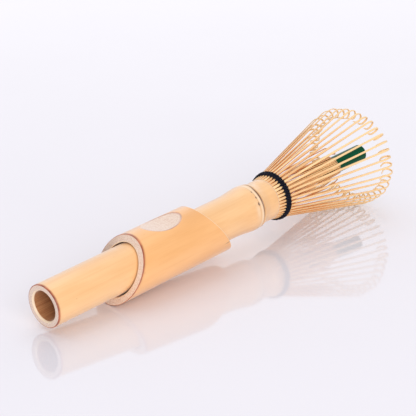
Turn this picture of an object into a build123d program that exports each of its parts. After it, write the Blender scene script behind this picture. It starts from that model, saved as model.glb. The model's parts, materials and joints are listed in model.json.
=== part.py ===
from build123d import *

import os
from math import asin, atan2, cos, degrees, hypot, radians, sin, tan
from random import Random

# A long-handled bamboo tea whisk with a loose bamboo grip sleeve, lying on a table.
# Millimetres. +Z is up, +X runs from the open end of the handle to the head, and the
# origin is on the table under the middle of the whisk. "along" is a distance measured up
# the whisk's own axis from the open end, which rises a few degrees towards the head.

# ---------------------------------------------------------------- driving dimensions

# Handle: a bamboo tube, open at one end and closed by its node at the other
mouth_radius = 10.0
bore_radius = 7.0
node_along = 129.0
grip_swell = 0.55  # how much the handle widens from the mouth to the end of the grip
node_swell = 1.65  # how much wider the node is than the mouth
swelling_length = 17.0  # the stretch over which the handle swells up to the node
diaphragm_thickness = 3.5
lip_round = 0.4

# Head barrel: the short smooth stretch between the node and the slits
barrel_length = 13.9
barrel_wall = 3.0
barrel_swell = 0.6  # how much wider the barrel's end is than the mouth
neck_swell = 0.45  # the same at the narrow neck just past the node
scar_depth = 0.3  # the leaf sheath's scar, a groove round the node

# Prongs: the barrel's wall is split, half of the prongs flaring out and half gathered in
prong_count = 40
prong_root_thickness = 1.1
prong_slit = 0.2  # between two outer prongs where they leave the barrel
prong_tip_thickness = 0.62
prong_tip_width = 1.1
bend_length = 6.0  # from the barrel's end to where the prongs bend over the thread
least_spread = 1.2  # how far the outer prongs stand out at that bend with no thread
flare_angle = 14.65
flare_length = 62.1  # straight stretch of an outer prong past the bend
shoulder_radius = 12.0  # the curve that turns a prong parallel to the axis
crown_radius = 8.0
crown_angle = 20.0
hook_radius = 2.5
hook_angle = 176.0
hook_leg = 4.0  # straight free end of the hook
spring_in = 0.8  # degrees that a prong may stand inside the full flare
table_press = 2.2  # degrees by which the table bends the lowest prongs inwards
curl_spread = 16.0  # degrees that a hook may be more open than the full curl

# Inner prongs, gathered round the plug
inner_root_thickness = 0.9
inner_slit = 0.3  # between two inner prongs where they leave the barrel
inner_tip_gap = 0.16  # between two of their tips, round the plug
inner_tip_thickness = 0.6
inner_length = 57.8
stray_tip_radii = {1: 8.0, 17: 8.5, 19: 10.0, 20: 11.0, 22: 12.0, 38: 10.5}

# Black thread that laces the prongs: three rows outside them and one between the two rings
thread_radius = 0.42
thread_gap = 0.1
thread_along = 4.66  # from the barrel's end to the first row of thread
thread_rows = 3

# Green plug that holds the inner prongs in shape
plug_radius = 4.6
plug_length = 41.0
plug_showing = 22.3
plug_gap = 0.25
plug_round = 0.4

# Grip sleeve: a short bamboo tube with slanted ends and a thumb rest on top
sleeve_gap = 0.4
sleeve_wall = 3.25
sleeve_length = 56.7
sleeve_play = 2.0  # how far the sleeve stops short of the swelling
near_slant = 30.0
far_slant = 34.0
sleeve_round = 0.35
thumb_rest_length = 23.0
thumb_rest_depth = 2.0
thumb_rest_from_far_end = 28.5

# ---------------------------------------------------------------- derived places

grip_end = node_along - swelling_length
grip_radius = mouth_radius + grip_swell
node_radius = mouth_radius + node_swell
neck_radius = mouth_radius + neck_swell
barrel_radius = mouth_radius + barrel_swell
barrel_end = node_along + barrel_length
head_bore_radius = barrel_radius - barrel_wall

# The slits divide the wall evenly, so a prong's width follows from the circle it stands on
half_pitch = 180 / prong_count
pitch_per_radius = 2 * tan(radians(half_pitch))
prong_root_width = (barrel_radius - prong_root_thickness) * pitch_per_radius - prong_slit
inner_root_width = head_bore_radius * pitch_per_radius - inner_slit
inner_tip_width = (plug_radius + plug_gap) * pitch_per_radius - inner_tip_gap

inner_root_radius = head_bore_radius + inner_root_thickness / 2
inner_tip_along = barrel_end + inner_length
inner_tip_radius = plug_radius + plug_gap + inner_tip_thickness / 2

plug_end = inner_tip_along + plug_showing

# The inner row of thread rests on the widest stray, and the outer prongs bend out over it
thread_pitch = 2 * thread_radius + thread_gap
inner_row_offset = thread_along + thread_pitch * (thread_rows - 1) / 2
widest_stray = max(stray_tip_radii.values()) - inner_root_radius
stray_surface = inner_root_radius + widest_stray * inner_row_offset / inner_length + inner_root_thickness / 2
inner_row_radius = stray_surface + thread_gap + thread_radius

bend_along = barrel_end + bend_length
flare_end = bend_along + flare_length
prong_root_radius = barrel_radius - prong_root_thickness / 2
prong_over_thread = inner_row_radius + thread_radius + thread_gap + prong_root_thickness / 2
thread_spread = (prong_over_thread - prong_root_radius) * bend_length / inner_row_offset
bend_radius = prong_root_radius + max(least_spread, thread_spread)

sleeve_bore_radius = grip_radius + sleeve_gap
sleeve_radius = sleeve_bore_radius + sleeve_wall
sleeve_far = grip_end - sleeve_play - sleeve_radius * tan(radians(far_slant))
sleeve_near = sleeve_far - sleeve_length
sleeve_near_lip = sleeve_near - sleeve_radius * tan(radians(near_slant))


def prong_curves(flare):
    """Centres (along, out) and radii of the three arcs that end an outer prong."""
    lean = radians(flare)
    crown = radians(crown_angle)
    shoulder_start_out = bend_radius + flare_length * tan(lean)
    shoulder = (
        flare_end + shoulder_radius * sin(lean),
        shoulder_start_out - shoulder_radius * cos(lean),
    )
    crown_centre = (shoulder[0], shoulder[1] + shoulder_radius - crown_radius)
    hook_centre = (
        crown_centre[0] + (crown_radius - hook_radius) * sin(crown),
        crown_centre[1] + (crown_radius - hook_radius) * cos(crown),
    )
    return shoulder, crown_centre, hook_centre


def pressed(azimuth):
    """Degrees that a prong gives way to the table under the whisk."""
    return table_press * max(0, -cos(radians(azimuth))) ** 2


def lying_tilt():
    """Degrees of tilt that set the sleeve's lower lip and the two lowest prongs on the table."""
    shoulder, _, _ = prong_curves(flare_angle - pressed(180 - half_pitch))
    pitch = radians(half_pitch)
    outer_radius = shoulder_radius + prong_tip_thickness / 2
    rise = sleeve_radius - shoulder[1] * cos(pitch) - prong_tip_width / 2 * sin(pitch)
    run = shoulder[0] - sleeve_near_lip
    return degrees(asin(outer_radius * cos(pitch) / hypot(rise, run)) - atan2(rise, run))


# The whisk's axis, and the plane through it that stands upright: local x is along, local y is up
tilt = lying_tilt()
tilt_cos = cos(radians(tilt))
tilt_sin = sin(radians(tilt))
_, _, hook_centre = prong_curves(flare_angle)
low_end_x = -mouth_radius * tilt_sin
hook_end_x = (
    hook_centre[0] * tilt_cos
    + hook_centre[1] * cos(radians(half_pitch)) * tilt_sin
    + hook_radius
    + prong_tip_thickness / 2
)
plug_end_x = plug_end * tilt_cos + plug_radius * tilt_sin
high_end_x = max(hook_end_x, plug_end_x)
mouth_centre = (
    -(low_end_x + high_end_x) / 2,
    0,
    sleeve_radius * tilt_cos - sleeve_near_lip * tilt_sin,
)
axis_direction = (tilt_cos, 0, tilt_sin)
whisk_axis = Axis(mouth_centre, axis_direction)
mouth_plane = Plane(mouth_centre, x_dir=(-tilt_sin, 0, tilt_cos), z_dir=axis_direction)
upright_plane = Plane(mouth_centre, x_dir=axis_direction, z_dir=(0, -1, 0))


def radial_plane(azimuth):
    """The half plane of one prong: local x is along, local y is out from the axis."""
    return Plane(mouth_centre, x_dir=axis_direction, z_dir=Vector(0, -1, 0).rotate(whisk_axis, azimuth))


def save(builder, label):
    builder.part.label = label
    export_step(builder.part, f"parts/{label}.step")


os.makedirs("parts", exist_ok=True)

# ---------------------------------------------------------------- culm

# One length of bamboo: the handle's tube, the node with its diaphragm, and the head's barrel
with BuildPart() as culm:
    with BuildSketch(upright_plane):
        with BuildLine():
            Line((0, bore_radius), (0, mouth_radius))
            grip_line = Line((0, mouth_radius), (grip_end, grip_radius))
            Spline(
                (grip_end, grip_radius),
                (grip_end + swelling_length * 0.6, grip_radius + (node_radius - grip_radius) * 0.5),
                (node_along, node_radius),
                (node_along + 2, node_radius - scar_depth),
                (node_along + 3.7, node_radius - scar_depth / 2),
                (barrel_end - 3, neck_radius),
                (barrel_end, barrel_radius),
                tangents=(grip_line % 1, (1, 0.1)),
            )
            Polyline(
                (barrel_end, barrel_radius),
                (barrel_end, head_bore_radius),
                (node_along + diaphragm_thickness / 2, head_bore_radius),
                (node_along + diaphragm_thickness / 2, 0),
                (node_along - diaphragm_thickness / 2, 0),
                (node_along - diaphragm_thickness / 2, bore_radius),
                (0, bore_radius),
            )
        make_face()
    revolve(axis=whisk_axis)
    mouth_edges = culm.edges().filter_by(GeomType.CIRCLE).sort_by(whisk_axis)[:2]
    fillet(mouth_edges, lip_round)

save(culm, "culm")

# ---------------------------------------------------------------- outer prongs


def outer_prong(azimuth, flare, hook):
    """A flat sliver that flares from the thread and curls back at its tip."""
    shoulder, crown, curl = prong_curves(flare)
    half_tip = prong_tip_thickness / 2
    half_root = prong_root_thickness / 2
    plane = radial_plane(azimuth)
    flare_start = 90 + flare
    hook_start = 90 - crown_angle
    leg_heading = radians(hook_start - hook - 90)
    leg = (hook_leg * cos(leg_heading), hook_leg * sin(leg_heading))
    with BuildPart() as prong:
        with BuildSketch(plane):
            with BuildLine():
                outer_shoulder = CenterArc(shoulder, shoulder_radius + half_tip, flare_start, -flare)
                CenterArc(crown, crown_radius + half_tip, 90, -crown_angle)
                outer_hook = CenterArc(curl, hook_radius + half_tip, hook_start, -hook)
                inner_shoulder = CenterArc(shoulder, shoulder_radius - half_tip, flare_start, -flare)
                CenterArc(crown, crown_radius - half_tip, 90, -crown_angle)
                inner_hook = CenterArc(curl, hook_radius - half_tip, hook_start, -hook)
                Polyline(outer_hook @ 1, outer_hook @ 1 + leg, inner_hook @ 1 + leg, inner_hook @ 1)
                Polyline(
                    outer_shoulder @ 0,
                    (bend_along, bend_radius + half_root),
                    (barrel_end, barrel_radius),
                    (barrel_end, barrel_radius - prong_root_thickness),
                    (bend_along, bend_radius - half_root),
                    inner_shoulder @ 0,
                )
            make_face()
        extrude(amount=prong_root_width, both=True)
        with BuildSketch(Plane(mouth_centre, x_dir=axis_direction, z_dir=plane.y_dir)):
            with BuildLine():
                Polyline(
                    (barrel_end - 1, prong_root_width / 2),
                    (bend_along, prong_root_width / 2),
                    (flare_end, prong_tip_width / 2),
                    (flare_end + 2 * crown_radius, prong_tip_width / 2),
                    (flare_end + 2 * crown_radius, 0),
                    (barrel_end - 1, 0),
                    close=True,
                )
            make_face()
            mirror(about=Plane.XZ)
        extrude(amount=2 * flare_length, mode=Mode.INTERSECT)
    return prong


chance = Random(11)
for number in range(prong_count):
    azimuth = half_pitch + number * 2 * half_pitch
    near_table = abs(azimuth - 180) < 4 * half_pitch
    flare = flare_angle - pressed(azimuth) - (0 if near_table else spring_in * chance.random())
    hook = hook_angle - (0 if near_table else curl_spread * chance.random())
    save(outer_prong(azimuth, flare, hook), f"outer_prong_{number + 1:02d}")

# ---------------------------------------------------------------- inner prongs

# Slivers of the inside of the wall, gathered until their tips meet the plug, but for a few strays
with BuildPart() as inner_prongs:
    for number in range(prong_count):
        plane = radial_plane(number * 2 * half_pitch)
        tip_radius = stray_tip_radii.get(number, inner_tip_radius)
        across = Plane(plane.origin, x_dir=plane.y_dir, z_dir=plane.x_dir)
        with BuildSketch(across.offset(barrel_end)):
            with Locations((inner_root_radius, 0)):
                Rectangle(inner_root_thickness, inner_root_width)
        with BuildSketch(across.offset(inner_tip_along)):
            with Locations((tip_radius, 0)):
                Rectangle(inner_tip_thickness, inner_tip_width)
        loft()

save(inner_prongs, "inner_prongs")

# ---------------------------------------------------------------- thread


def prong_out(along):
    """Distance from the axis to the middle of an outer prong, near the thread."""
    if along < bend_along:
        return prong_root_radius + (bend_radius - prong_root_radius) * (along - barrel_end) / bend_length
    return bend_radius + (along - bend_along) * tan(radians(flare_angle))


outside_gap = prong_root_thickness / 2 + thread_gap + thread_radius

for row in range(thread_rows):
    row_along = barrel_end + thread_along + row * thread_pitch
    with BuildPart(mouth_plane.offset(row_along)) as thread_row:
        Torus(prong_out(row_along) + outside_gap, thread_radius)
    save(thread_row, f"thread_row_{row + 1}")

with BuildPart(mouth_plane.offset(barrel_end + inner_row_offset)) as thread_inner_row:
    Torus(inner_row_radius, thread_radius)

save(thread_inner_row, "thread_inner_row")

# ---------------------------------------------------------------- plug

with BuildPart() as shaping_plug:
    with BuildSketch(mouth_plane.offset(plug_end - plug_length)):
        Circle(plug_radius)
    extrude(amount=plug_length)
    fillet(shaping_plug.edges().filter_by(GeomType.CIRCLE), plug_round)

save(shaping_plug, "shaping_plug")

# ---------------------------------------------------------------- sleeve

near_rise = sleeve_radius * tan(radians(near_slant))
far_rise = sleeve_radius * tan(radians(far_slant))
with BuildPart() as sleeve:
    with BuildSketch(upright_plane):
        with BuildLine():
            Polyline(
                (sleeve_near - near_rise, -sleeve_radius),
                (sleeve_far + far_rise, -sleeve_radius),
                (sleeve_far - far_rise, sleeve_radius),
                (sleeve_near + near_rise, sleeve_radius),
                close=True,
            )
        make_face()
    extrude(amount=2 * sleeve_radius, both=True)
    with BuildSketch(mouth_plane):
        Circle(sleeve_radius)
        Circle(sleeve_bore_radius, mode=Mode.SUBTRACT)
    extrude(amount=node_along, mode=Mode.INTERSECT)
    fillet(sleeve.edges().filter_by(GeomType.LINE, reverse=True), sleeve_round)
    # The thumb rest is an oval flat, scooped by a wide roller lying across the top
    roller_radius = ((thumb_rest_length / 2) ** 2 + thumb_rest_depth**2) / (2 * thumb_rest_depth)
    roller_height = sleeve_radius - thumb_rest_depth + roller_radius
    with BuildSketch(upright_plane):
        with Locations((sleeve_far - thumb_rest_from_far_end, roller_height)):
            Circle(roller_radius)
    extrude(amount=2 * sleeve_radius, both=True, mode=Mode.SUBTRACT)

save(sleeve, "sleeve")

print(f"tilt {tilt:.3f} degrees, mouth centre {mouth_centre}")
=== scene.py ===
import json
from collections import namedtuple
from math import cos, pi, radians, sin, tan
from random import Random

import bmesh
import bpy
import numpy as np
from mathutils import Euler, Matrix, Vector


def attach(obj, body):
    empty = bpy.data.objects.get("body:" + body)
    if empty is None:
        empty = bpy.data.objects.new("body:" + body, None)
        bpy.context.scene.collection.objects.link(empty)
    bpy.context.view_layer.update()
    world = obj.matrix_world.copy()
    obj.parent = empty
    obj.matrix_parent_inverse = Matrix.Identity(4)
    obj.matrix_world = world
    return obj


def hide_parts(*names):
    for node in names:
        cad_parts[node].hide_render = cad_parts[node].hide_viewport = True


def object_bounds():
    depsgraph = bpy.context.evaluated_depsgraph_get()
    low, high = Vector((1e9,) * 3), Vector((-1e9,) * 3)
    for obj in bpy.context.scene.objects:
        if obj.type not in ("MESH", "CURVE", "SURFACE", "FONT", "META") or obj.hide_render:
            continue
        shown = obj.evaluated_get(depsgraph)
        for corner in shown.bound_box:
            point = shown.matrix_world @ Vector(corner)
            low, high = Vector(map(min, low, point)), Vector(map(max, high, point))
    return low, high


# A bamboo tea whisk on a glossy white table. Shapes are worked out in millimetres in the
# whisk's own frame: "along" its axis from the open end of the handle, "out" from the axis,
# and "azimuth" round it, from straight up towards -Y. place() turns them into metres in the
# CAD frame. A mesh also carries marks, from 0 to 1 at each point, that its material reads.

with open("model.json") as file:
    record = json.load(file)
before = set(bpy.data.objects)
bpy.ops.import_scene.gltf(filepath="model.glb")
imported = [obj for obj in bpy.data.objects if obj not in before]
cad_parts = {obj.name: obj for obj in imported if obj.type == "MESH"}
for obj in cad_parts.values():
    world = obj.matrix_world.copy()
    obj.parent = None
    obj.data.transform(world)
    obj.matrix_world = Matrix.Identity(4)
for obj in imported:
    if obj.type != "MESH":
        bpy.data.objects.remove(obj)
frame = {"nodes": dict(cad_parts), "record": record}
cad_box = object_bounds()
nodes = frame["nodes"]
scene = bpy.context.scene

# ---------------------------------------------------------------- the whisk's own frame

MM = 0.001
mounts = {mount["name"]: mount for mount in frame["record"]["mounts"]}
axis = -Vector(mounts["handle_bore"]["axis"]).normalized()
side = Vector((0, 1, 0))
up = axis.cross(side)
triad = np.array((axis, side, up))
bore_middle = Vector(mounts["handle_bore"]["pos_m"])
mouth = bore_middle + axis * axis.dot(Vector(mounts["handle_end"]["pos_m"]) - bore_middle)

Reach = namedtuple("Reach", "start end inner outer azimuth")


def place(along, out, azimuth, across=0.0):
    """World points, in metres. across is measured along the circle, towards a larger azimuth."""
    along, out, azimuth, across = np.broadcast_arrays(along, out, azimuth, across)
    sideways = -out * np.sin(azimuth) - across * np.cos(azimuth)
    upwards = out * np.cos(azimuth) - across * np.sin(azimuth)
    return np.array(mouth) + np.stack((along, sideways, upwards), axis=-1) @ triad * MM


def measure(name):
    """How far a CAD node reaches along the axis and out from it, in mm, and where it stands."""
    points = np.array([vertex.co for vertex in nodes[name].data.vertices])
    along, sideways, upwards = ((points - np.array(mouth)) @ triad.T / MM).T
    out = np.hypot(sideways, upwards)
    azimuth = np.arctan2(-sideways.mean(), upwards.mean())
    return Reach(along.min(), along.max(), out.min(), out.max(), azimuth)


def ease(value):
    """0 below 0, 1 above 1, and a smooth S between."""
    value = np.clip(value, 0.0, 1.0)
    return value * value * (3 - 2 * value)


def hump(value, middle, width):
    return np.exp(-(((value - middle) / width) ** 2))


def waves(seed, count, *values):
    """A smooth wavy field between about -1 and 1, the same on every run."""
    chance = Random(seed)
    total = 0.0
    for _ in range(count):
        phase = chance.uniform(0, 2 * pi)
        total = total + np.sin(phase + sum(value * chance.uniform(-1, 1) for value in values))
    return total / count**0.5


# ---------------------------------------------------------------- dimensions, in mm

culm = measure("culm")
sleeve = measure("sleeve")
plug = measure("shaping_plug")
inner = measure("inner_prongs")
inner_row = measure("thread_inner_row")
thread_names = sorted(name for name in nodes if name.startswith("thread_row"))
prong_names = sorted(name for name in nodes if name.startswith("outer_prong"))
thread_rows = [measure(name) for name in thread_names]
prong_reaches = [measure(name) for name in prong_names]

bore_radius = mounts["handle_bore"]["dims"]["r_mm"]
mouth_radius = 10.0
lip_round = 0.4
diaphragm_thickness = 3.5
swelling_length = 17.0
grip_swell = 0.55
crest_swell = 1.1
node_along = axis.dot(bore_middle - mouth) / MM + mounts["handle_bore"]["dims"]["length_mm"] / 2
node_along += diaphragm_thickness / 2
grip_end = node_along - swelling_length
barrel_end = culm.end
barrel_radius = 10.6
barrel_wall = 3.0
neck_past_node = 0.9
neck_length = 7.4
neck_drop = 1.2
groove_past_node = 1.7
groove_width = 0.42
scar_before_node = 0.75

near_slant = radians(30)
far_slant = radians(34)
sleeve_round = 0.35
thumb_rest_length = 23.0
thumb_rest_depth = 2.0
thumb_rest_from_far_end = 28.5
thumb_rest_edge = 0.22
crack_along = sleeve.end - 8.2
crack_azimuth = radians(107)
crack_lean = 0.012  # radians round the sleeve for each mm along

prong_pitch = 2 * pi / len(prong_names)
root_flare = 11.3
bend_length = 6.0
flare_length = 62.1
first_flare = 14.0
shoulder_radius = 12.0
crown_radius = 8.0
crown_angle = 20.0
hook_radius = 2.5
root_thickness = 1.1
middle_thickness = 0.78
tip_thickness = 0.46
root_width = 1.5
waist_width = 1.26
tip_width = 1.0

inner_root_radius = barrel_radius - barrel_wall + 0.45
inner_length = inner.end - barrel_end
stray_tips = {1: 8.0, 17: 8.5, 19: 10.0, 20: 11.0, 22: 12.0, 38: 10.5}
stitch_radius = 0.27
stitch_height = 0.92
stitch_sink = 1.15
stitch_overhang = 0.7
plug_round = 0.45

# ---------------------------------------------------------------- materials


class Shader:
    """A node material under construction, whose patterns follow the whisk's own frame."""

    def __init__(self, name):
        self.material = bpy.data.materials.new(name)
        self.material.use_nodes = True
        self.tree = self.material.node_tree
        self.tree.nodes.clear()
        self.surface = self.add("BsdfPrincipled")
        output = self.add("OutputMaterial")
        self.tree.links.new(self.surface.outputs[0], output.inputs["Surface"])
        coordinates = self.add("TexCoord")
        local = self.add(
            "Mapping",
            {"vector_type": "TEXTURE"},
            Vector=coordinates.outputs["Object"],
            Location=tuple(mouth),
            Rotation=tuple(Matrix((axis, side, up)).transposed().to_euler()),
            Scale=(MM, MM, MM),
        )
        self.place = local.outputs[0]

    def add(self, kind, settings=None, **inputs):
        node = self.tree.nodes.new("ShaderNode" + kind)
        for name, value in (settings or {}).items():
            setattr(node, name, value)
        for name, value in inputs.items():
            self.feed(node.inputs[name.replace("_", " ")], value)
        return node

    def feed(self, socket, value):
        if isinstance(value, bpy.types.NodeSocket):
            self.tree.links.new(value, socket)
        else:
            socket.default_value = value

    def mark(self, name):
        """One of the marks that a piece's mesh carries, from 0 to 1."""
        return self.add("Attribute", {"attribute_name": name}).outputs["Fac"]

    def noise(self, stretch, detail=2.0, roughness=0.5, offset=(0, 0, 0)):
        """Noise with cells of 1/stretch mm, along, sideways and up."""
        spot = self.add("Mapping", Vector=self.place, Scale=stretch, Location=offset).outputs[0]
        node = self.add("TexNoise", Vector=spot, Scale=1.0, Detail=detail, Roughness=roughness)
        return node.outputs["Fac"]

    def spread(self, value, low, high, to_low=0.0, to_high=1.0):
        node = self.add("MapRange", Value=value)
        limits = {"From Min": low, "From Max": high, "To Min": to_low, "To Max": to_high}
        for socket, number in limits.items():
            node.inputs[socket].default_value = number
        return node.outputs[0]

    def maths(self, operation, first, second=0.5):
        node = self.add("Math", {"operation": operation})
        self.feed(node.inputs[0], first)
        self.feed(node.inputs[1], second)
        return node.outputs[0]

    def mix(self, share, first, second, blend="MIX"):
        node = self.add("Mix", {"data_type": "RGBA", "blend_type": blend})
        self.feed(node.inputs[0], share)
        self.feed(node.inputs[6], first)
        self.feed(node.inputs[7], second)
        return node.outputs[2]

    def bump(self, height, strength, distance):
        node = self.add("Bump", Height=height, Strength=strength, Distance=distance * MM)
        self.tree.links.new(node.outputs[0], self.surface.inputs["Normal"])

    def set(self, **inputs):
        for name, value in inputs.items():
            self.feed(self.surface.inputs[name.replace("_", " ")], value)


def colour(red, green, blue):
    """A colour given as it looks on a screen, 0 to 255, as the linear one that a shader takes."""
    shares = [value / 255 for value in (red, green, blue)]
    linear = [((s + 0.055) / 1.055) ** 2.4 if s > 0.04 else s / 12.92 for s in shares]
    return (*linear, 1.0)


def bamboo_tube(name, skin_light, skin_dark):
    """Polished culm skin with sawn, scraped and bored faces where the mesh is marked so."""
    shader = Shader(name)
    clouds = shader.noise((0.02, 0.12, 0.12), detail=3)
    fibres = shader.noise((0.03, 5.0, 5.0), detail=3, roughness=0.6)
    streaks = shader.noise((0.012, 1.3, 1.3), detail=2)
    skin = shader.mix(shader.spread(clouds, 0.35, 0.65), skin_light, skin_dark)
    skin = shader.mix(shader.spread(streaks, 0.5, 0.8, 0, 0.16), skin, colour(226, 156, 98))
    skin = shader.mix(shader.spread(fibres, 0.45, 0.8, 0, 0.14), skin, colour(214, 146, 88))
    flecks = shader.spread(shader.noise((0.35, 1.6, 1.6), detail=1), 0.77, 0.82, 0, 0.3)
    skin = shader.mix(flecks, skin, colour(170, 104, 58))
    bundles = shader.noise((2.2, 2.6, 2.6), detail=2, roughness=0.7)
    pores = shader.spread(bundles, 0.48, 0.66)
    cut = shader.mix(pores, colour(246, 224, 206), colour(214, 170, 140))
    patches = shader.spread(shader.noise((0.25, 0.25, 0.25), detail=2), 0.35, 0.65)
    rim = shader.mix(patches, colour(200, 108, 66), colour(140, 58, 28))
    pith = shader.mix(shader.spread(fibres, 0.3, 0.7), colour(214, 156, 106), colour(160, 98, 58))
    surface = shader.mix(shader.mark("bore"), skin, pith)
    surface = shader.mix(shader.mark("cut"), surface, cut)
    # This pale mark is the pale cut lips, plus a painted highlight along the node's crest.
    surface = shader.mix(shader.mark("pale_and_highlight"), surface, colour(252, 228, 196))
    surface = shader.mix(shader.mark("rim"), surface, rim)
    # The dark mark holds real marks (scar line, root dots, a crack) and painted shade (in the node's
    # groove and on the sleeve's near end face).
    surface = shader.mix(shader.mark("stain_and_shade"), surface, colour(92, 44, 20))
    rough = shader.spread(fibres, 0.3, 0.7, 0.27, 0.36)
    raw = shader.maths("MAXIMUM", shader.mark("cut"), shader.mark("bore"))
    rough = shader.maths("MAXIMUM", rough, shader.maths("MULTIPLY", raw, 0.62))
    height = shader.maths("ADD", fibres, shader.maths("MULTIPLY", bundles, raw))
    shader.bump(height, 0.2, 0.05)
    shader.set(
        Base_Color=surface,
        Roughness=rough,
        Coat_Weight=0.5,
        Coat_Roughness=0.22,
        Sheen_Weight=0.45,
        Sheen_Roughness=0.35,
        Sheen_Tint=(1.0, 0.92, 0.9, 1.0),
    )
    return shader.material


def split_bamboo(name, skin_tone, wood_and_shade_tone, root_tone, tip_paleness):
    """A shaved prong: smooth skin outside, and open fibres at its sides in a darker orange that is
    partly the split bamboo's own colour and partly painted shade, paler towards its tip.
    """
    shader = Shader(name)
    fibres = shader.noise((0.05, 7.0, 7.0), detail=3, roughness=0.65)
    clouds = shader.noise((0.08, 0.4, 0.4), detail=2)
    wood = shader.mix(shader.spread(fibres, 0.35, 0.7), wood_and_shade_tone, root_tone)
    skin = shader.mix(shader.spread(fibres, 0.5, 0.8, 0, 0.5), skin_tone, wood_and_shade_tone)
    surface = shader.mix(shader.mark("skin"), wood, skin)
    surface = shader.mix(shader.spread(clouds, 0.45, 0.75, 0, 0.35), surface, root_tone)
    surface = shader.mix(shader.spread(shader.mark("tone"), 0, 1, 0, 0.4), surface, root_tone)
    along = shader.add("SeparateXYZ", Vector=shader.place).outputs["X"]
    surface = shader.mix(shader.spread(along, 165, 212, 0, tip_paleness), surface, skin_tone)
    shader.bump(fibres, 0.4, 0.05)
    rough = shader.spread(fibres, 0.3, 0.7, 0.34, 0.5)
    shader.set(Base_Color=surface, Roughness=rough, Specular_IOR_Level=0.5)
    return shader.material


def black_thread():
    shader = Shader("black_thread")
    fuzz = shader.noise((9.0, 9.0, 9.0), detail=3, roughness=0.7)
    tone = shader.mix(shader.spread(fuzz, 0.35, 0.7), colour(8, 9, 22), colour(26, 28, 48))
    shader.bump(fuzz, 0.5, 0.05)
    rough = shader.spread(fuzz, 0.3, 0.7, 0.5, 0.75)
    shader.set(
        Base_Color=tone,
        Roughness=rough,
        Specular_IOR_Level=0.15,
        Sheen_Weight=0.05,
        Sheen_Roughness=0.4,
    )
    return shader.material


def green_plug():
    shader = Shader("green_plug")
    streaks = shader.noise((0.04, 1.6, 1.6), detail=3)
    tone = shader.mix(shader.spread(streaks, 0.35, 0.7), colour(0, 88, 56), colour(0, 66, 42))
    scuffs = shader.noise((0.5, 3.0, 3.0), detail=4, roughness=0.7)
    rough = shader.spread(scuffs, 0.4, 0.75, 0.12, 0.2)
    shader.bump(scuffs, 0.08, 0.03)
    shader.set(Base_Color=tone, Roughness=rough, Specular_IOR_Level=0.09)
    return shader.material


culm_bamboo = bamboo_tube("culm_bamboo", colour(255, 208, 152), colour(246, 192, 132))
sleeve_bamboo = bamboo_tube("sleeve_bamboo", colour(255, 196, 132), colour(244, 180, 112))
prong_bamboo = split_bamboo(
    "prong_bamboo", colour(255, 222, 166), colour(240, 174, 100), colour(218, 132, 62), 0.85
)
inner_bamboo = split_bamboo(
    "inner_prong_bamboo", colour(255, 214, 150), colour(232, 160, 88), colour(204, 116, 48), 0.3
)
thread_material = black_thread()
plug_material = green_plug()

# ---------------------------------------------------------------- mesh building


def bands(rows, columns, closed=False):
    """Quads between rings of points; closed joins the last ring to the first."""
    faces = []
    for row in range(rows if closed else rows - 1):
        lower, upper = row * columns, (row + 1) % rows * columns
        for column in range(columns):
            following = (column + 1) % columns
            faces.append((lower + column, lower + following, upper + following, upper + column))
    return faces


def join(parts):
    """One list of points, faces and marks from several."""
    points, faces, marks = [], [], {}
    for part_points, part_faces, part_marks in parts:
        start = len(points)
        points.extend(part_points)
        faces.extend(tuple(start + corner for corner in face) for face in part_faces)
        for mark, values in part_marks.items():
            marks.setdefault(mark, []).extend(values)
    return points, faces, marks


def make_piece(name, part, material, body, stands_for=()):
    points, faces, marks = part
    mesh = bpy.data.meshes.new(name)
    mesh.from_pydata([tuple(point) for point in points], [], faces)
    for mark, values in marks.items():
        layer = mesh.attributes.new(mark, "FLOAT", "POINT")
        layer.data.foreach_set("value", np.asarray(values, np.float32).ravel())
    work = bmesh.new()
    work.from_mesh(mesh)
    bmesh.ops.remove_doubles(work, verts=work.verts, dist=1e-7)
    bmesh.ops.recalc_face_normals(work, faces=work.faces)
    work.to_mesh(mesh)
    work.free()
    mesh.shade_smooth()
    mesh.materials.append(material)
    piece = bpy.data.objects.new(name, mesh)
    scene.collection.objects.link(piece)
    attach(piece, body)
    if stands_for:
        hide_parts(*stands_for)
    return piece


TUBE_MARKS = ("bore", "cut", "pale_and_highlight", "rim", "stain_and_shade")


def around(azimuth):
    """The same angle, between -pi and pi."""
    return np.angle(np.exp(1j * azimuth))


def tube_part(along, out, azimuths, marks, closed):
    """A tube from rings: along and out are rows by columns, and a mark is the same or one column."""
    rows, columns = along.shape
    points = place(along, out, azimuths[None, :]).reshape(-1, 3)
    full = {name: np.broadcast_to(values, along.shape).ravel() for name, values in marks.items()}
    return points, bands(rows, columns, closed), full


# ---------------------------------------------------------------- culm


def skin_radius(along, azimuth):
    """The culm's outside, with its node's crest and the groove where the leaf sheath grew."""
    rise = ((along - grip_end) / swelling_length).clip(0, 1) ** 1.35
    radius = mouth_radius + grip_swell * (along / grip_end).clip(0, 1)
    radius = radius + crest_swell * (1 - np.cos(pi * rise)) / 2
    past_node = along - node_along
    radius = radius - neck_drop * ease((past_node - neck_past_node) / neck_length)
    radius = radius + 0.15 * ease((past_node - 8.4) / 3)
    groove = groove_along(azimuth)
    radius = radius - groove_depth(azimuth) * hump(along, groove, groove_width)
    radius = radius + 0.1 * hump(along, groove + 1.35, 0.55)
    radius = radius - 0.05 * hump(along, scar_along(azimuth), 0.2)
    for dot_azimuth, size in root_dots:
        radius = radius - 0.28 * size * dot(along, azimuth, dot_azimuth, size)
    wobble = 0.035 * waves(3, 4, 3 * np.cos(azimuth), 3 * np.sin(azimuth), along / 14)
    return radius + wobble * ease((barrel_end - along) / 6)


def groove_along(azimuth):
    """It wanders a little, and bows towards the head where the bud sat."""
    wander = 0.12 * np.sin(2 * azimuth + 1)
    bow = 0.9 * hump(np.cos(azimuth + 0.2), 1, 0.12)
    return node_along + groove_past_node + wander + bow


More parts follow.
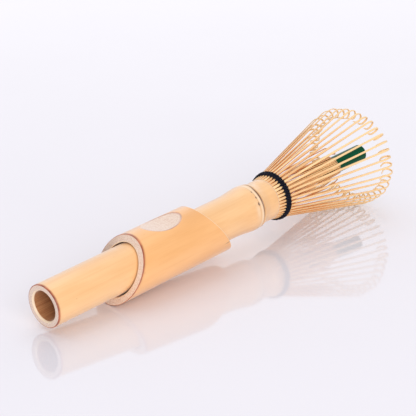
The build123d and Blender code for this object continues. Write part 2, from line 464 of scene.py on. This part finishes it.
def groove_depth(azimuth):
    """Deepest on top and shallow towards the underside."""
    return 0.14 + 0.24 * ease((np.cos(azimuth - 0.2) + 0.6) / 1.2)


def scar_along(azimuth):
    return node_along - scar_before_node + 0.15 * np.sin(3 * azimuth)


def dot(along, azimuth, dot_azimuth, size):
    """A round pit on the scar."""
    across = around(azimuth - dot_azimuth) * (mouth_radius + crest_swell)
    return hump(np.hypot(along - scar_along(dot_azimuth), across * 0.7), 0, 0.34 * size)


dot_sizes = {27: 0.8, 45: 1.0, 62: 1.5, 131: 0.7, 196: 0.9, 214: 0.6, 288: 0.8}  # by degrees
root_dots = [(radians(angle), size) for angle, size in dot_sizes.items()]


def culm_part():
    """Rings from the diaphragm's near face, out round the mouth, over the node and back inside."""
    columns = 288
    azimuths = np.linspace(0, 2 * pi, columns, endpoint=False)
    floor_along = node_along - diaphragm_thickness / 2
    back_along = node_along + diaphragm_thickness / 2
    head_bore = barrel_radius - barrel_wall
    rows = [(floor_along + 0.25, radius, "bore") for radius in (0, 1.6, 3.4, 5.2, 6.4)]
    rows += [(floor_along - 0.1, 6.85, "bore")]
    rows += [(along, bore_radius, "bore") for along in np.linspace(floor_along - 0.6, 0.9, 26)]
    inner_lip = ((0.7, 7.0), (0.42, 7.12), (0.16, 7.36), (0.03, 7.6))
    outer_lip = ((0.0, 9.6), (0.03, 9.78), (0.11, 9.9), (0.24, 9.97))
    rows += [(along, out, "pale_and_highlight") for along, out in inner_lip]
    rows += [(0.0, out, "cut") for out in np.linspace(7.72, 9.52, 8)]
    rows += [(along, out, "rim") for along, out in outer_lip]
    stations = [lip_round, *np.arange(1.2, grip_end, 1.6)]
    stations += np.arange(grip_end, node_along - 2, 0.8).tolist()
    stations += np.arange(node_along - 2, node_along + 5, 0.16).tolist()
    stations += np.arange(node_along + 5, barrel_end, 0.7).tolist()
    rows += [(along, None, "skin") for along in stations]
    rows += [(barrel_end, out, "cut") for out in (barrel_radius, 10.1, 9.2, 8.3, head_bore)]
    rows += [(along, head_bore, "bore") for along in np.linspace(barrel_end - 0.4, back_along + 0.4, 8)]
    rows += [(back_along, radius, "bore") for radius in (7.2, 5, 2.5, 0)]
    along = np.array([[row[0]] * columns for row in rows], float)
    skin = np.array([row[1] is None for row in rows])
    out = np.array([[row[1] or 0.0] * columns for row in rows], float)
    out[skin] = skin_radius(along[skin], azimuths[None, :])
    marks = {mark: np.array([[row[2] == mark] for row in rows], float) for mark in TUBE_MARKS}
    uneven = 0.75 + 0.25 * waves(8, 5, 3 * np.cos(azimuths), 3 * np.sin(azimuths))[None, :]
    # A dark brown line in the node's groove. It is partly the sheath scar's own colour and partly
    # painted shade of the groove, strongest on top and fading towards the underside.
    stain_and_shade = 0.95 * hump(along, groove_along(azimuths) + 0.1, 0.55) * uneven
    stain_and_shade = stain_and_shade * ease((np.cos(azimuths - 0.35) + 0.75) / 1.3)[None, :]
    stain_and_shade = stain_and_shade + 0.22 * hump(along, scar_along(azimuths), 0.22) * uneven
    for dot_azimuth, size in root_dots:
        stain_and_shade = stain_and_shade + 1.2 * dot(along, azimuths[None, :], dot_azimuth, size)
    marks["stain_and_shade"] = np.where(skin[:, None], stain_and_shade, 0).clip(0, 1)
    bud_patch = hump(along, node_along - 2.2, 1.2) * hump(around(azimuths - radians(78)), 0, 0.3)
    # Painted highlight: a whitish band along the node's crest. The bud patch beside it is a pale spot on
    # the skin itself.
    pale = 0.8 * hump(along, node_along + 0.4, 0.7) + 0.55 * bud_patch
    marks["pale_and_highlight"] = marks["pale_and_highlight"] + np.where(skin[:, None], pale.clip(0, 1), 0)
    marks["rim"] = marks["rim"] + np.where(skin[:, None], 0.9 * hump(along, lip_round, 0.45), 0)
    return tube_part(along, out, azimuths, marks, closed=False)


make_piece("bamboo_culm", culm_part(), culm_bamboo, "whisk", ["culm"])

# ---------------------------------------------------------------- sleeve


def sleeve_part():
    """A tube with slanted ends, and a thumb rest scooped from its top by a wide roller."""
    radius, bore = sleeve.outer, sleeve.inner
    far_middle = sleeve.end - radius * tan(far_slant)
    near_middle = sleeve.start + radius * tan(near_slant)
    scoop_middle = far_middle - thumb_rest_from_far_end
    roller = ((thumb_rest_length / 2) ** 2 + thumb_rest_depth**2) / (2 * thumb_rest_depth)
    columns = (
        np.arange(-42, 42, 0.7),  # closer together over the thumb rest
        np.linspace(42, 100, 22, endpoint=False),
        np.arange(100, 114, 0.7),  # and at the crack
        np.linspace(114, 318, 72, endpoint=False),
    )
    azimuths = np.radians(np.concatenate(columns))
    level = np.cos(azimuths)

    def near(out):
        return near_middle + out * level * tan(near_slant)

    def far(out):
        return far_middle - out * level * tan(far_slant)

    def scooped(along):
        """Radius of the outside, cut where the roller passed, with the edge sanded a little."""
        reach = (along - scoop_middle).clip(-roller, roller)
        height = radius - thumb_rest_depth + roller - np.sqrt(roller**2 - reach**2)
        cut = np.where(level > 0.6, height / level.clip(0.6, 1), 2 * radius)
        share = (0.5 + 0.5 * (cut - radius) / thumb_rest_edge).clip(0, 1)
        return cut * (1 - share) + radius * share - thumb_rest_edge * share * (1 - share)

    rows = []

    def lip(end, inside, towards_wall, reverse):
        """A rounded edge between an end face and the outer or inner wall."""
        wall = bore if inside else radius
        face = wall + sleeve_round if inside else wall - sleeve_round
        shares = (0, 0.3, 0.6, 0.85, 1)
        for share in reversed(shares) if reverse else shares:
            blends = ((1 - share) ** 2, 2 * share * (1 - share), share**2)
            out = blends[0] * face + (blends[1] + blends[2]) * wall
            start, corner = end(face), end(wall)
            along = blends[0] * start + blends[1] * corner + blends[2] * (corner + towards_wall)
            kind = "pale_and_highlight" if inside or end is far else ("rim" if share > 0 else "cut")
            if share == 1 and not inside:
                kind = "skin"
            rows.append((along, np.full_like(level, out), kind))

    lip(near, False, sleeve_round, False)
    first, last = near(radius) + sleeve_round, far(radius) - sleeve_round
    thumb_rest_shares = np.arange(0.185, 0.83, 0.0075)
    for share in (*np.linspace(0.01, 0.18, 12), *thumb_rest_shares, *np.linspace(0.84, 0.99, 10)):
        along = first + (last - first) * share
        rows.append((along, scooped(along), "skin"))
    lip(far, False, -sleeve_round, True)
    walls = np.linspace(radius - sleeve_round - 0.06, bore + sleeve_round + 0.06, 8)
    for out in walls:
        rows.append((far(out), np.full_like(level, out), "cut"))
    lip(far, True, -sleeve_round, False)
    for share in np.linspace(0.985, 0.015, 30):
        along = near(bore) + (far(bore) - near(bore)) * share
        rows.append((along, np.full_like(level, bore), "bore"))
    lip(near, True, sleeve_round, True)
    for out in walls[::-1]:
        rows.append((near(out), np.full_like(level, out), "cut"))
    along = np.array([row[0] for row in rows])
    out = np.array([row[1] for row in rows])
    kinds = np.array([row[2] for row in rows])[:, None]
    marks = {mark: (kinds == mark) * np.ones_like(out) for mark in TUBE_MARKS}
    skin = kinds == "skin"
    depth = np.where(skin, radius - out, 0)
    marks["cut"] = np.maximum(marks["cut"], ease((depth - 0.06) / 0.08))
    edge = hump(depth, 0.16, 0.16) * ease((depth - 0.02) / 0.04)
    uneven = ease(0.6 + 0.6 * waves(5, 5, along / 4, 5 * azimuths[None, :]))
    # The brown rim round the thumb rest is the cut skin's edge. Towards the head, where the scoop ends
    # in a steep wall, it is made stronger as painted shade.
    towards_head = ease((along - scoop_middle + 6) / 9)
    thumb_rest_rim_and_shade = edge * (0.35 + 0.75 * towards_head).clip(0, 1) * uneven
    near_rim = np.where(skin, 0.95 * hump(along, near(radius)[None, :] + 0.45, 0.42), 0)
    marks["rim"] = np.maximum(np.maximum(marks["rim"], thumb_rest_rim_and_shade), near_rim)
    crack = hump(azimuths - crack_azimuth + crack_lean * (along - crack_along), 0, 0.014)
    crack = crack * hump(along, crack_along, 1.6)
    # Painted shade on the near end face, on its upper side towards +Y.
    painted_face_shade = 0.3 * hump(around(azimuths + radians(62)), 0, 0.6) * (along < near_middle + radius)
    marks["stain_and_shade"] = np.where(skin, 0.95 * crack, painted_face_shade * (marks["cut"] > 0))
    swell = 0.03 * waves(21, 4, along / 11, 2.5 * level[None, :], 2.5 * np.sin(azimuths)[None, :])
    out = out - np.where(skin, 0.03 + swell, 0)
    return tube_part(along, out, azimuths, marks, closed=True)


make_piece("grip_sleeve", sleeve_part(), sleeve_bamboo, "sleeve", ["sleeve"])

# ---------------------------------------------------------------- prongs


def signed_power(value, power):
    return np.sign(value) * np.abs(value) ** power


corners = np.linspace(0, 2 * pi, 16, endpoint=False) + pi / 16
section_across = signed_power(np.cos(corners), 0.42)
section_through = signed_power(np.sin(corners), 0.42)


def trace(along, out, heading, stretches):
    """Points and headings of a line made of stretches: (length, degrees turned, number of steps)."""
    heading = radians(heading)
    line = [(along, out, heading)]
    for length, turn, steps in stretches:
        for _ in range(steps):
            heading += radians(turn) / steps / 2
            along += length / steps * cos(heading)
            out += length / steps * sin(heading)
            heading += radians(turn) / steps / 2
            line.append((along, out, heading))
    return np.array(line).T


def outer_line(flare, hook, curl, leg):
    """The middle of an outer prong, from the barrel to its tip."""
    return trace(
        barrel_end,
        barrel_radius - root_thickness / 2,
        root_flare,
        [
            (bend_length - 1.5, 0, 8),
            (3.0, flare - root_flare, 5),
            (flare_length - 1.4, 0, 44),
            (shoulder_radius * radians(flare), -flare, 14),
            (crown_radius * radians(crown_angle), -crown_angle, 8),
            (curl * radians(hook), -hook, 26),
            (leg, -6, 5),
        ],
    )


def sliver(line, azimuth, widths, thickness, shift, tone, lean=0.0, lean_from=0.0):
    """A flat strip along a line, with widths for its outer and inner faces.

    widths, thickness and shift, which moves it sideways, are in mm at each point of the line.
    Past lean_from along, it leans round the line that stands straight out, by lean radians.
    """
    along, out, heading = line
    wide_out, wide_in = widths
    through = section_through[None, :] * thickness[:, None] / 2
    middle_width, taper = (wide_out + wide_in)[:, None] / 2, (wide_out - wide_in)[:, None] / 2
    from_middle = section_across[None, :] * (middle_width + section_through[None, :] * taper) / 2
    ring_along = along[:, None] - np.sin(heading)[:, None] * through
    ring_out = out[:, None] + np.cos(heading)[:, None] * through
    if lean:
        rising = slice(along.argmax())
        pivot = np.interp(lean_from, along[rising], out[rising])
        started = np.arange(len(along)) > np.abs(along[rising] - lean_from).argmin()
        turn = np.where(started, lean, 0.0)[:, None] * ease((pivot - ring_out + 0.6) / 3)
        lever = ring_out - pivot
        ring_out = pivot + lever * np.cos(turn) - from_middle * np.sin(turn)
        from_middle = lever * np.sin(turn) + from_middle * np.cos(turn)
    points = place(ring_along, ring_out, azimuth, shift[:, None] + from_middle).reshape(-1, 3)
    rows, columns = ring_along.shape
    faces = bands(rows, columns)
    faces += [tuple(reversed(range(columns))), tuple(range((rows - 1) * columns, rows * columns))]
    # Outer and inner faces are marked as skin, the inner one a little less. The unmarked sides take the
    # darker orange, which is partly painted shade.
    smooth = np.where(section_through > 0.9, 1.0, np.where(section_through < -0.9, 0.75, 0.0))
    skin = np.broadcast_to(smooth, (rows, columns)).ravel()
    return points, faces, {"skin": skin, "tone": np.full(rows * columns, tone)}


def outer_prong_part(reach, chance):
    """One outer prong, bent until it stands as far out as its CAD node does."""
    beneath = abs(around(reach.azimuth - pi)) < 2 * prong_pitch
    loose = 0.25 if beneath else 1.0
    hook = 182 - 12 * chance.random()
    curl = hook_radius * chance.uniform(0.9, 1.0)
    leg = chance.uniform(3.2, 4.4)
    lean = loose * radians(chance.uniform(-9, 9))
    drift = loose * chance.uniform(-0.28, 0.28)
    bow = loose * chance.uniform(-0.24, 0.24)
    tone = chance.random()
    flare = first_flare
    for _ in range(4):
        line = outer_line(flare, hook, curl, leg)
        flare += np.degrees((reach.outer - tip_thickness / 2 - line[1].max()) / flare_length)
    along, out, heading = line
    travelled = np.concatenate(([0], np.cumsum(np.hypot(np.diff(along), np.diff(out)))))
    share = travelled / travelled[-1]
    lacing = ease((along - barrel_end) / 3.2)
    slim = ease((travelled - 6) / (flare_length + 4))
    end = ease((travelled[-1] - travelled) / 0.5)

    def face_width(root, waist):
        """The width of a face, which narrows at the lacing, towards the tip and at its end."""
        return ((root + (waist - root) * lacing) * (1 - slim) + tip_width * slim) * (0.7 + 0.3 * end)

    widths = face_width(root_width + 0.12, waist_width), face_width(root_width, waist_width - 0.1)
    thick = root_thickness + (middle_thickness - root_thickness) * ease((travelled - 5) / 10)
    thick = thick + (tip_thickness - middle_thickness) * ease((travelled - 30) / 40)
    thick = thick * (0.6 + 0.4 * end)
    shift = drift * share**1.5 + bow * np.sin(pi * share) ** 2
    lean_from = barrel_end + flare_length + 2.5
    return sliver(line, reach.azimuth, widths, thick, shift, tone, lean, lean_from)


chance = Random(7)
for name, reach in zip(prong_names, prong_reaches):
    part = outer_prong_part(reach, chance)
    make_piece("bamboo_" + name, part, prong_bamboo, "whisk", [name])

# ---------------------------------------------------------------- inner prongs


def clump(number):
    """How far a prong drifts sideways, in mm, so that neighbours gather in clumps."""
    return 0.3 * sin(1.9 * number + 0.7) + 0.12 * sin(4.7 * number)


def inner_prong_part(number, chance):
    """One sliver from the inside of the wall, gathered on to the plug unless its tip strays."""
    strays = number in stray_tips
    tip_radius = stray_tips.get(number, plug.outer + 0.4 + chance.uniform(0, 0.12))
    length = inner_length - chance.uniform(0, 3.2)
    share = np.linspace(0, 1, 30)
    sag = 0.25 if strays else 0.5
    middle = inner_root_radius + (tip_radius - inner_root_radius) * (share + sag * share * (1 - share))
    along = barrel_end + share * length
    if strays:
        middle = middle - 1.1 * ease((share - 0.93) / 0.07)
    heading = np.arctan2(np.gradient(middle), np.gradient(along))
    wide = 0.92 - 0.28 * share
    wide = wide * (1 - 0.25 * ease((share - 0.985) / 0.015))
    thick = 0.85 - 0.3 * ease(share * 1.6)
    drift = chance.uniform(-0.16, 0.16) + (0 if strays else clump(number))
    shift = drift * np.sin(pi * share) ** 0.8 + chance.uniform(-0.06, 0.06) * share
    middle = middle + chance.uniform(-0.25, 0.3) * np.sin(pi * share) ** 2
    line = (along, middle, heading)
    return sliver(line, number * prong_pitch, (wide, wide * 0.94), thick, shift, chance.random())


chance = Random(19)
part = join([inner_prong_part(number, chance) for number in range(len(prong_names))])
make_piece(
    "bamboo_inner_prongs", part, inner_bamboo, "whisk", ["inner_prongs"]
)

# ---------------------------------------------------------------- lacing


def cord_part(points, reference, radius, twists):
    """A closed loop of two-ply cord along points; reference is square to the loop's plane."""
    count, sides = len(points), 14
    tangent = np.roll(points, -1, 0) - np.roll(points, 1, 0)
    tangent /= np.linalg.norm(tangent, axis=1)[:, None]
    outward = np.cross(tangent, reference)
    outward /= np.linalg.norm(outward, axis=1)[:, None]
    across = np.cross(outward, tangent)
    turn = np.linspace(0, 2 * pi, sides, endpoint=False)[None, :]
    twist = np.linspace(0, 2 * pi * twists, count, endpoint=False)[:, None]
    size = radius * (0.84 + 0.16 * np.abs(np.cos(turn - twist)) ** 0.8) * MM
    spokes = np.cos(turn)[..., None] * outward[:, None, :] + np.sin(turn)[..., None] * across[:, None, :]
    ring = points[:, None, :] + size[..., None] * spokes
    return ring.reshape(-1, 3), bands(count, sides, closed=True), {}


def row_loop(reach, dip, count=720):
    """The middle of a row of lacing, which sinks between the prongs."""
    azimuth = np.linspace(0, 2 * pi, count, endpoint=False)
    middle_out = (reach.outer + reach.inner) / 2
    phase = (azimuth - prong_reaches[0].azimuth) / prong_pitch
    out = middle_out - 0.02 - dip * (1 - np.cos(2 * pi * phase)) / 2
    wander = 0.07 * waves(4, 4, 9 * np.cos(azimuth), 9 * np.sin(azimuth))
    along = (reach.start + reach.end) / 2 + wander
    return place(along, out, azimuth)


for number, (name, reach) in enumerate(zip(thread_names, thread_rows)):
    thread_radius = (reach.end - reach.start) / 2
    part = cord_part(row_loop(reach, 0.55), np.array(axis), thread_radius * 0.98, 60 + number)
    make_piece(f"lacing_row_{number + 1}", part, thread_material, "whisk", [name])

thread_radius = (inner_row.end - inner_row.start) / 2
part = cord_part(row_loop(inner_row, 0.1), np.array(axis), thread_radius, 48)
make_piece("lacing_inner_row", part, thread_material, "whisk", ["thread_inner_row"])


def stitch(number, chance):
    """A stitch that binds the rows in the slit after one prong."""
    azimuth = prong_reaches[0].azimuth + (number + 0.5) * prong_pitch
    turn = np.linspace(0, 2 * pi, 28, endpoint=False)
    first, last = thread_rows[0], thread_rows[-1]
    slope = (last.outer - first.outer) / (last.end - first.end)
    from_middle = (last.end - first.start + stitch_overhang) / 2 * np.cos(turn)
    along = (first.start + last.end) / 2 + from_middle
    middle_out = (first.outer + last.outer) / 2 - stitch_sink + slope * from_middle
    out = middle_out + stitch_height * signed_power(np.sin(turn), 0.6)
    tilt = radians(1.1 + 0.5 * chance.random()) * np.cos(turn) * (np.sin(turn) > 0)
    points = place(along, out, azimuth + tilt)
    across = place(0, 0, azimuth, 1.0) - place(0, 0, azimuth, 0.0)
    return cord_part(points, across / np.linalg.norm(across), stitch_radius, 6)


chance = Random(2)
part = join([stitch(number, chance) for number in range(len(prong_names))])
make_piece("lacing_stitches", part, thread_material, "whisk")

# ---------------------------------------------------------------- plug


def plug_part():
    """A moulded cylinder with rounded edges and faintly dished ends."""
    azimuths = np.linspace(0, 2 * pi, 96, endpoint=False)
    cap = [(0.35, 0), (0.33, 1.5), (0.22, 3.0), (0.02, 3.95)]
    for turn in np.linspace(pi / 2, 0, 7):
        cap.append((plug_round * (1 - sin(turn)), plug.outer - plug_round * (1 - cos(turn))))
    rows = [(plug.start + depth, out) for depth, out in cap]
    rows += [(along, plug.outer) for along in np.linspace(plug.start + 1, plug.end - 1, 40)]
    rows += [(plug.end - depth, out) for depth, out in reversed(cap)]
    along, out = np.repeat(np.array(rows, float).T[:, :, None], len(azimuths), 2)
    return tube_part(along, out, azimuths, {}, closed=False)


make_piece("green_plug", plug_part(), plug_material, "plug", ["shaping_plug"])

# ---------------------------------------------------------------- table, light and camera


def table():
    """A glossy white acrylic sheet, which mirrors the whisk softly."""
    bpy.ops.mesh.primitive_plane_add(size=8, location=(0, 0, -0.00005))
    top = bpy.context.object
    top.name = "table"
    shader = Shader("white_acrylic")
    haze = shader.noise((0.01, 0.01, 0.01), detail=2)
    tone = shader.mix(haze, colour(238, 236, 243), colour(241, 239, 246))
    shader.set(Base_Color=tone, Roughness=0.06, IOR=1.8)
    top.data.materials.append(shader.material)


def soft_box(name, location, target, size, power, tint=(1, 1, 1)):
    light = bpy.data.lights.new(name, "AREA")
    light.shape = "RECTANGLE"
    light.size, light.size_y = size
    light.energy = power
    light.color = tint
    lamp = bpy.data.objects.new(name, light)
    lamp.location = location
    lamp.rotation_euler = (Vector(target) - Vector(location)).to_track_quat("-Z", "Y").to_euler()
    scene.collection.objects.link(lamp)


table()
world = bpy.data.worlds.new("studio")
world.use_nodes = True
background = world.node_tree.nodes["Background"]
background.inputs["Color"].default_value = (0.965, 0.96, 1.0, 1.0)
background.inputs["Strength"].default_value = 0.62
scene.world = world
soft_box("overhead", (0.1, 0.5, 1.1), (0, 0, 0), (1.2, 0.9), 3.0)
soft_box("back_wall", (0.75, 0.72, 0.42), (0, 0, 0), (2.2, 0.7), 2.8, (1.0, 0.98, 0.99))
soft_box("front_fill", (-0.55, -0.98, 0.42), (0, 0, 0), (1.0, 0.8), 8.2, (1.0, 0.97, 0.94))
scene.view_settings.view_transform = "Standard"

camera_heading = radians(43.004)
camera_elevation = radians(20.706)
camera_roll = radians(-0.239)
camera_distance = 0.594
camera_aim = (cad_box[0] + cad_box[1]) / 2 + Vector((-0.00812, 0.00063, 0.00089))
camera_data = bpy.data.cameras.new("camera")
camera_data.lens = 108.17
camera = bpy.data.objects.new("camera", camera_data)
level_part, drop = cos(camera_elevation), sin(camera_elevation)
looking = Vector((cos(camera_heading) * level_part, sin(camera_heading) * level_part, -drop))
camera.location = camera_aim - looking * camera_distance
upright = looking.to_track_quat("-Z", "Y")
camera.rotation_euler = (upright @ Euler((0, 0, camera_roll)).to_quaternion()).to_euler()
scene.collection.objects.link(camera)
scene.camera = camera
